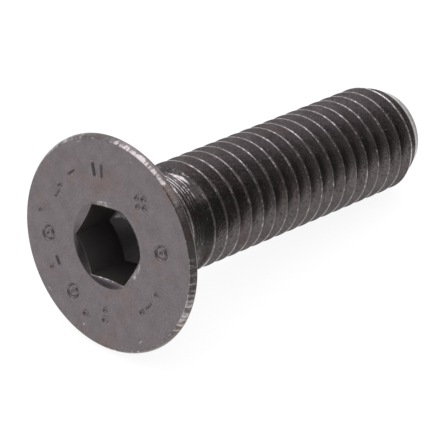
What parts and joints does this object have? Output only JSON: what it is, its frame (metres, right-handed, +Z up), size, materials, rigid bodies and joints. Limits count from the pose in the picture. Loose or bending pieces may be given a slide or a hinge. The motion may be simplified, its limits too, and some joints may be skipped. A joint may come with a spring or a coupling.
{
  "type": "countersunk socket screw",
  "caption": "Countersunk head screw with a hexagon socket, a 90 degree seat and a coarse right-hand metric thread up to the neck, lying on its side.",
  "frame": {"origin": "on the ground, in the middle under the lying screw", "axes": "+X from the head's face to the point, leaning 8 degrees down with the screw's axis; +Z up"},
  "size_m": [0.0308, 0.0154, 0.0153],
  "materials": {
    "black_steel": "black oxide on alloy steel, fine pitted, bare and brighter on the crests, the rim and the turned neck"
  },
  "bodies": {
    "root": {"countersunk_screw": "black_steel"}
  },
  "joints": []
}
